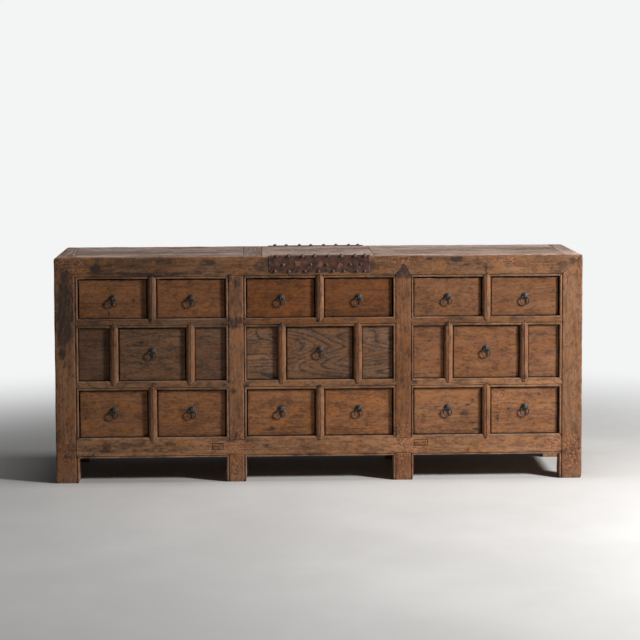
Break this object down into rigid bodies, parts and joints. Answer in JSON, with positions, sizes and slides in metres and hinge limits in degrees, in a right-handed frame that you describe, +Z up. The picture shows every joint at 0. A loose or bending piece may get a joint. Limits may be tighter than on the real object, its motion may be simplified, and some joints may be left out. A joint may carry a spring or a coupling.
{
  "type": "fifteen-drawer sideboard",
  "caption": "Long low post-and-rail wooden sideboard with rows of small drawers on iron ring pulls, an iron-bound top edge and short straight legs.",
  "frame": {"origin": "on the floor, under the middle of the cabinet's box", "axes": "+X to the right seen from the front, +Y from the front to the back, +Z up"},
  "size_m": [2.0802, 0.4944, 0.9005],
  "materials": {
    "elm_posts": "worn, waxed, stained",
    "elm_rails": "worn, waxed, stained",
    "elm_panels": "worn, waxed",
    "elm_drawers": "worn, waxed",
    "elm_top": "dry, greyed",
    "elm_inner": "bare, dusty",
    "iron": "forged, rusted"
  },
  "bodies": {
    "root": {"front_end_post_left": "elm_posts", "front_end_post_right": "elm_posts", "rear_end_post_left": "elm_posts", "rear_end_post_right": "elm_posts", "front_mid_post_left": "elm_posts", "rear_mid_post_left": "elm_inner", "front_mid_post_right": "elm_posts", "rear_mid_post_right": "elm_inner", "top_front_rail": "elm_rails", "top_back_rail": "elm_rails", "top_end_rail_left": "elm_rails", "bottom_side_rail_left": "elm_rails", "top_end_rail_right": "elm_rails", "bottom_side_rail_right": "elm_rails", "bottom_front_rail": "elm_rails", "bottom_back_rail": "elm_inner", "divider_frame_left": "elm_rails", "divider_frame_centre": "elm_rails", "divider_frame_right": "elm_rails", "side_panel_left": "elm_panels", "side_panel_right": "elm_panels", "back_panel": "elm_inner", "bottom_board": "elm_inner", "dust_board_lower": "elm_inner", "dust_board_upper": "elm_inner", "top_board_left": "elm_top", "top_board_centre": "elm_top", "top_board_right": "elm_top", "iron_band_front": "iron", "iron_band_rear": "iron"},
    "drawer_left_bay_top_left": {"drawer_left_bay_top_left": "elm_drawers"},
    "drawer_left_bay_top_right": {"drawer_left_bay_top_right": "elm_drawers"},
    "drawer_centre_bay_top_left": {"drawer_centre_bay_top_left": "elm_drawers"},
    "drawer_centre_bay_top_right": {"drawer_centre_bay_top_right": "elm_drawers"},
    "drawer_right_bay_top_left": {"drawer_right_bay_top_left": "elm_drawers"},
    "drawer_right_bay_top_right": {"drawer_right_bay_top_right": "elm_drawers"},
    "drawer_left_bay_middle": {"drawer_left_bay_middle": "elm_drawers"},
    "drawer_centre_bay_middle": {"drawer_centre_bay_middle": "elm_drawers"},
    "drawer_right_bay_middle": {"drawer_right_bay_middle": "elm_drawers"},
    "drawer_left_bay_bottom_left": {"drawer_left_bay_bottom_left": "elm_drawers"},
    "drawer_left_bay_bottom_right": {"drawer_left_bay_bottom_right": "elm_drawers"},
    "drawer_centre_bay_bottom_left": {"drawer_centre_bay_bottom_left": "elm_drawers"},
    "drawer_centre_bay_bottom_right": {"drawer_centre_bay_bottom_right": "elm_drawers"},
    "drawer_right_bay_bottom_left": {"drawer_right_bay_bottom_left": "elm_drawers"},
    "drawer_right_bay_bottom_right": {"drawer_right_bay_bottom_right": "elm_drawers"},
    "ring_left_bay_top_left": {"ring_left_bay_top_left": "iron"},
    "ring_left_bay_top_right": {"ring_left_bay_top_right": "iron"},
    "ring_centre_bay_top_left": {"ring_centre_bay_top_left": "iron"},
    "ring_centre_bay_top_right": {"ring_centre_bay_top_right": "iron"},
    "ring_right_bay_top_left": {"ring_right_bay_top_left": "iron"},
    "ring_right_bay_top_right": {"ring_right_bay_top_right": "iron"},
    "ring_left_bay_middle": {"ring_left_bay_middle": "iron"},
    "ring_centre_bay_middle": {"ring_centre_bay_middle": "iron"},
    "ring_right_bay_middle": {"ring_right_bay_middle": "iron"},
    "ring_left_bay_bottom_left": {"ring_left_bay_bottom_left": "iron"},
    "ring_left_bay_bottom_right": {"ring_left_bay_bottom_right": "iron"},
    "ring_centre_bay_bottom_left": {"ring_centre_bay_bottom_left": "iron"},
    "ring_centre_bay_bottom_right": {"ring_centre_bay_bottom_right": "iron"},
    "ring_right_bay_bottom_left": {"ring_right_bay_bottom_left": "iron"},
    "ring_right_bay_bottom_right": {"ring_right_bay_bottom_right": "iron"}
  },
  "joints": [
    {"name": "drawer_left_bay_top_left_slide", "type": "slide", "parent": "root", "child": "drawer_left_bay_top_left", "axis": [0, -1, 0], "range_m": [0, 0.33]},
    {"name": "drawer_left_bay_top_right_slide", "type": "slide", "parent": "root", "child": "drawer_left_bay_top_right", "axis": [0, -1, 0], "range_m": [0, 0.33]},
    {"name": "drawer_centre_bay_top_left_slide", "type": "slide", "parent": "root", "child": "drawer_centre_bay_top_left", "axis": [0, -1, 0], "range_m": [0, 0.33]},
    {"name": "drawer_centre_bay_top_right_slide", "type": "slide", "parent": "root", "child": "drawer_centre_bay_top_right", "axis": [0, -1, 0], "range_m": [0, 0.33]},
    {"name": "drawer_right_bay_top_left_slide", "type": "slide", "parent": "root", "child": "drawer_right_bay_top_left", "axis": [0, -1, 0], "range_m": [0, 0.33]},
    {"name": "drawer_right_bay_top_right_slide", "type": "slide", "parent": "root", "child": "drawer_right_bay_top_right", "axis": [0, -1, 0], "range_m": [0, 0.33]},
    {"name": "drawer_left_bay_middle_slide", "type": "slide", "parent": "root", "child": "drawer_left_bay_middle", "axis": [0, -1, 0], "range_m": [0, 0.33]},
    {"name": "drawer_centre_bay_middle_slide", "type": "slide", "parent": "root", "child": "drawer_centre_bay_middle", "axis": [0, -1, 0], "range_m": [0, 0.33]},
    {"name": "drawer_right_bay_middle_slide", "type": "slide", "parent": "root", "child": "drawer_right_bay_middle", "axis": [0, -1, 0], "range_m": [0, 0.33]},
    {"name": "drawer_left_bay_bottom_left_slide", "type": "slide", "parent": "root", "child": "drawer_left_bay_bottom_left", "axis": [0, -1, 0], "range_m": [0, 0.33]},
    {"name": "drawer_left_bay_bottom_right_slide", "type": "slide", "parent": "root", "child": "drawer_left_bay_bottom_right", "axis": [0, -1, 0], "range_m": [0, 0.33]},
    {"name": "drawer_centre_bay_bottom_left_slide", "type": "slide", "parent": "root", "child": "drawer_centre_bay_bottom_left", "axis": [0, -1, 0], "range_m": [0, 0.33]},
    {"name": "drawer_centre_bay_bottom_right_slide", "type": "slide", "parent": "root", "child": "drawer_centre_bay_bottom_right", "axis": [0, -1, 0], "range_m": [0, 0.33]},
    {"name": "drawer_right_bay_bottom_left_slide", "type": "slide", "parent": "root", "child": "drawer_right_bay_bottom_left", "axis": [0, -1, 0], "range_m": [0, 0.33]},
    {"name": "drawer_right_bay_bottom_right_slide", "type": "slide", "parent": "root", "child": "drawer_right_bay_bottom_right", "axis": [0, -1, 0], "range_m": [0, 0.33]},
    {"name": "ring_left_bay_top_left_swing", "type": "hinge", "parent": "drawer_left_bay_top_left", "child": "ring_left_bay_top_left", "pos_m": [-0.81188, -0.2355, 0.728], "axis": [-1, 0, 0], "range_deg": [-10, 190]},
    {"name": "ring_left_bay_top_right_swing", "type": "hinge", "parent": "drawer_left_bay_top_right", "child": "ring_left_bay_top_right", "pos_m": [-0.50553, -0.2355, 0.728], "axis": [-1, 0, 0], "range_deg": [-10, 190]},
    {"name": "ring_centre_bay_top_left_swing", "type": "hinge", "parent": "drawer_centre_bay_top_left", "child": "ring_centre_bay_top_left", "pos_m": [-0.15318, -0.2355, 0.728], "axis": [-1, 0, 0], "range_deg": [-10, 190]},
    {"name": "ring_centre_bay_top_right_swing", "type": "hinge", "parent": "drawer_centre_bay_top_right", "child": "ring_centre_bay_top_right", "pos_m": [0.15318, -0.2355, 0.728], "axis": [-1, 0, 0], "range_deg": [-10, 190]},
    {"name": "ring_right_bay_top_left_swing", "type": "hinge", "parent": "drawer_right_bay_top_left", "child": "ring_right_bay_top_left", "pos_m": [0.50553, -0.2355, 0.728], "axis": [-1, 0, 0], "range_deg": [-10, 190]},
    {"name": "ring_right_bay_top_right_swing", "type": "hinge", "parent": "drawer_right_bay_top_right", "child": "ring_right_bay_top_right", "pos_m": [0.81188, -0.2355, 0.728], "axis": [-1, 0, 0], "range_deg": [-10, 190]},
    {"name": "ring_left_bay_middle_swing", "type": "hinge", "parent": "drawer_left_bay_middle", "child": "ring_left_bay_middle", "pos_m": [-0.6587, -0.2355, 0.521], "axis": [-1, 0, 0], "range_deg": [-10, 190]},
    {"name": "ring_centre_bay_middle_swing", "type": "hinge", "parent": "drawer_centre_bay_middle", "child": "ring_centre_bay_middle", "pos_m": [0, -0.2355, 0.521], "axis": [-1, 0, 0], "range_deg": [-10, 190]},
    {"name": "ring_right_bay_middle_swing", "type": "hinge", "parent": "drawer_right_bay_middle", "child": "ring_right_bay_middle", "pos_m": [0.6587, -0.2355, 0.521], "axis": [-1, 0, 0], "range_deg": [-10, 190]},
    {"name": "ring_left_bay_bottom_left_swing", "type": "hinge", "parent": "drawer_left_bay_bottom_left", "child": "ring_left_bay_bottom_left", "pos_m": [-0.81188, -0.2355, 0.2855], "axis": [-1, 0, 0], "range_deg": [-10, 190]},
    {"name": "ring_left_bay_bottom_right_swing", "type": "hinge", "parent": "drawer_left_bay_bottom_right", "child": "ring_left_bay_bottom_right", "pos_m": [-0.50553, -0.2355, 0.2855], "axis": [-1, 0, 0], "range_deg": [-10, 190]},
    {"name": "ring_centre_bay_bottom_left_swing", "type": "hinge", "parent": "drawer_centre_bay_bottom_left", "child": "ring_centre_bay_bottom_left", "pos_m": [-0.15318, -0.2355, 0.2855], "axis": [-1, 0, 0], "range_deg": [-10, 190]},
    {"name": "ring_centre_bay_bottom_right_swing", "type": "hinge", "parent": "drawer_centre_bay_bottom_right", "child": "ring_centre_bay_bottom_right", "pos_m": [0.15318, -0.2355, 0.2855], "axis": [-1, 0, 0], "range_deg": [-10, 190]},
    {"name": "ring_right_bay_bottom_left_swing", "type": "hinge", "parent": "drawer_right_bay_bottom_left", "child": "ring_right_bay_bottom_left", "pos_m": [0.50553, -0.2355, 0.2855], "axis": [-1, 0, 0], "range_deg": [-10, 190]},
    {"name": "ring_right_bay_bottom_right_swing", "type": "hinge", "parent": "drawer_right_bay_bottom_right", "child": "ring_right_bay_bottom_right", "pos_m": [0.81188, -0.2355, 0.2855], "axis": [-1, 0, 0], "range_deg": [-10, 190]}
  ]
}
